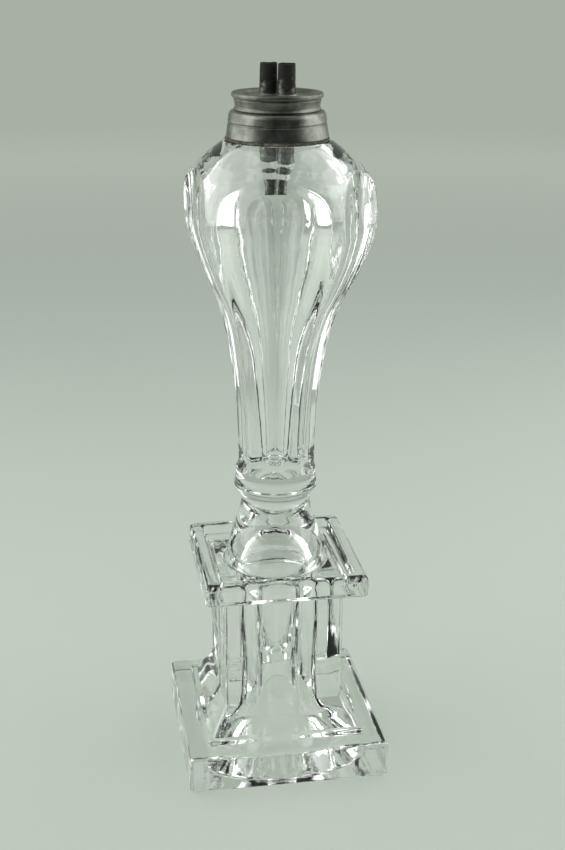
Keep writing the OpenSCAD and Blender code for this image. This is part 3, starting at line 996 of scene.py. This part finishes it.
def soft_light(name, place, s):
    """A rectangular softbox that glass and metal mirror, and that the camera doesn't see."""
    light = bpy.data.lights.new(name, "AREA")
    light.shape = "RECTANGLE"
    light.size, light.size_y = s.softbox_width, s.softbox_height
    light.energy = s.side_power
    lamp = bpy.data.objects.new(name, light)
    bpy.context.scene.collection.objects.link(lamp)
    lamp.location = place
    lamp.rotation_mode = "QUATERNION"
    lamp.rotation_quaternion = (Vector(s.aim) - Vector(place)).to_track_quat("-Z", "Y")
    lamp.visible_camera = False


def floor_material(s):
    """Pale paper sweep: lit and shadowed near the lamp, its colour darkening with distance as painted
    shade, and far away a plain even colour that glows instead of being lit.

    Metal and glass see its front edge end in the dark room in front of the lamp.
    """
    material, tree, output, coords = new_material("pale_paper")
    away = add_node(tree, "ShaderNodeVectorMath", {0: coords}, operation="LENGTH")
    # Painted shade: the paper's colour darkens from the near colour at 0.2 m to the far colour at 2 m,
    # standing in for light that falls off with distance
    painted_falloff = add_node(tree, "ShaderNodeMapRange", {
        "Value": away.outputs["Value"], "From Min": 0.0, "From Max": 4.0})
    shaded_tone = add_node(
        tree, "ShaderNodeValToRGB", {"Fac": painted_falloff.outputs["Result"]},
        [(0.05, s.near_tone), (0.5, s.far_shaded_tone)])
    lit = add_node(tree, "ShaderNodeBsdfDiffuse", {"Color": shaded_tone.outputs["Color"]})
    # Far away the paper glows in its painted shade colour instead of being lit
    even = add_node(tree, "ShaderNodeEmission", {
        "Color": shaded_tone.outputs["Color"]})
    far = add_node(tree, "ShaderNodeMapRange", {
        "Value": away.outputs["Value"], "From Min": 0.35, "From Max": 1.6})
    floor = add_node(tree, "ShaderNodeMixShader", {
        0: far.outputs["Result"], 1: lit.outputs["BSDF"], 2: even.outputs["Emission"]})
    front = add_node(tree, "ShaderNodeSeparateXYZ", {"Vector": coords})
    beyond = add_node(tree, "ShaderNodeMapRange", {
        "Value": front.outputs["Y"], "From Min": -0.75, "From Max": -0.40,
        "To Min": 1.0, "To Max": 0.0})
    path = add_node(tree, "ShaderNodeLightPath").outputs
    mirrored = add_node(tree, "ShaderNodeMath", {
        0: path["Is Glossy Ray"], 1: path["Is Transmission Ray"]}, operation="MAXIMUM")
    hidden = add_node(tree, "ShaderNodeMath", {
        0: beyond.outputs["Result"], 1: mirrored.outputs["Value"]}, operation="MULTIPLY")
    dark = add_node(tree, "ShaderNodeEmission", {"Color": srgb(s.dark_tone)})
    mix = add_node(tree, "ShaderNodeMixShader", {
        0: hidden.outputs["Value"], 1: floor.outputs["Shader"], 2: dark.outputs["Emission"]})
    tree.links.new(mix.outputs["Shader"], output.inputs["Surface"])
    return material


def studio_world(s):
    """Even fill light, and for glass and metal a pale room that is dark in front of the lamp."""
    world = bpy.data.worlds.new("studio")
    world.use_nodes = True
    tree = world.node_tree
    tree.nodes.clear()
    path = add_node(tree, "ShaderNodeLightPath").outputs
    way = add_node(tree, "ShaderNodeTexCoord").outputs["Generated"]
    front = add_node(tree, "ShaderNodeSeparateXYZ", {"Vector": way})
    depth = add_node(tree, "ShaderNodeMapRange", {
        "Value": front.outputs["Y"], "From Min": -1.0, "From Max": 1.0})
    room = add_node(tree, "ShaderNodeValToRGB", {"Fac": depth.outputs["Result"]}, [
        (0.14, s.dark_tone), (0.34, s.side_tone), (0.62, s.side_tone), (0.85, s.far_shaded_tone)])
    fill = add_node(tree, "ShaderNodeBackground", {"Color": srgb("#eef2ee"), "Strength": s.fill})
    # The camera sees a background in the far floor's colour, with its painted shade
    shown = add_node(tree, "ShaderNodeBackground", {"Color": srgb(s.far_shaded_tone)})
    mirrored = add_node(tree, "ShaderNodeBackground", {
        "Color": room.outputs["Color"]})
    bent = add_node(tree, "ShaderNodeMath", {
        0: path["Is Glossy Ray"], 1: path["Is Transmission Ray"]}, operation="MAXIMUM")
    unseen = add_node(tree, "ShaderNodeMixShader", {
        0: bent.outputs["Value"], 1: fill.outputs["Background"],
        2: mirrored.outputs["Background"]})
    mix = add_node(tree, "ShaderNodeMixShader", {
        0: path["Is Camera Ray"], 1: unseen.outputs["Shader"], 2: shown.outputs["Background"]})
    output = add_node(tree, "ShaderNodeOutputWorld")
    tree.links.new(mix.outputs["Shader"], output.inputs["Surface"])
    return world


class LAMP_OT_stage(bpy.types.Operator):
    """Sets the floor, the softboxes, the world and the camera"""

    bl_idname = "lamp.stage"
    bl_label = "Stage"

    def execute(self, context):
        scene, s = context.scene, context.scene.lamp_stage
        bm = bmesh.new()
        bmesh.ops.create_circle(bm, cap_ends=True, segments=96, radius=s.floor_radius)
        bmesh.ops.translate(bm, verts=bm.verts[:], vec=(0, 0, -FLOOR_GAP * MM))
        mesh = bpy.data.meshes.new("floor")
        bm.to_mesh(mesh)
        bm.free()
        floor = bpy.data.objects.new("floor", mesh)
        scene.collection.objects.link(floor)
        mesh.materials.append(floor_material(s))

        scene.world = studio_world(s)
        soft_light("left_softbox", s.left_place, s)
        soft_light("right_softbox", s.right_place, s)

        camera = bpy.data.cameras.new("camera")
        camera.lens = s.focal_length
        camera.sensor_width = 36.0
        camera.clip_start, camera.clip_end = 0.01, 60.0
        eye = bpy.data.objects.new("camera", camera)
        scene.collection.objects.link(eye)
        turn, pitch = s.camera_turn, s.camera_pitch
        ahead = Vector((
            math.sin(turn) * math.cos(pitch), math.cos(turn) * math.cos(pitch), -math.sin(pitch)))
        right = Vector((math.cos(turn), -math.sin(turn), 0.0))
        up = right.cross(ahead)
        c, k = math.cos(s.camera_roll), math.sin(s.camera_roll)
        right, up = right * c + up * k, up * c - right * k
        eye.matrix_world = Matrix.Translation(s.camera_place) @ Matrix(
            (right, up, -ahead)).transposed().to_4x4()
        scene.camera = eye

        scene.view_settings.view_transform = "Standard"
        scene.cycles.max_bounces = 32
        scene.cycles.transmission_bounces = 28
        return {"FINISHED"}


class LAMP_PT_sidebar(bpy.types.Panel):
    """Lists the lamp's operators"""

    bl_idname = "LAMP_PT_sidebar"
    bl_label = "Camphene Lamp"
    bl_space_type = "VIEW_3D"
    bl_region_type = "UI"
    bl_category = "Camphene Lamp"

    def draw(self, context):
        for operator in OPERATORS:
            self.layout.operator(operator.bl_idname)


OPERATORS = (
    LAMP_OT_stage, LAMP_OT_glass, LAMP_OT_cement, LAMP_OT_collar, LAMP_OT_washer,
    LAMP_OT_burner, LAMP_OT_tubes, LAMP_OT_solder, LAMP_OT_wicks,
)
CLASSES = (LampGlassSettings, LampMetalSettings, LampStageSettings) + OPERATORS + (LAMP_PT_sidebar,)


def register():
    for cls in CLASSES:
        bpy.utils.register_class(cls)
    bpy.types.Scene.lamp_glass = bpy.props.PointerProperty(type=LampGlassSettings)
    bpy.types.Scene.lamp_metal = bpy.props.PointerProperty(type=LampMetalSettings)
    bpy.types.Scene.lamp_stage = bpy.props.PointerProperty(type=LampStageSettings)


def unregister():
    del bpy.types.Scene.lamp_stage
    del bpy.types.Scene.lamp_metal
    del bpy.types.Scene.lamp_glass
    for cls in reversed(CLASSES):
        bpy.utils.unregister_class(cls)


def main():
    register()
    bpy.ops.lamp.stage()
    bpy.ops.lamp.glass()
    bpy.ops.lamp.cement()
    bpy.ops.lamp.collar()
    bpy.ops.lamp.washer()
    bpy.ops.lamp.burner()
    bpy.ops.lamp.tubes()
    bpy.ops.lamp.solder()
    bpy.ops.lamp.wicks()


if __name__ == "__main__":
    main()
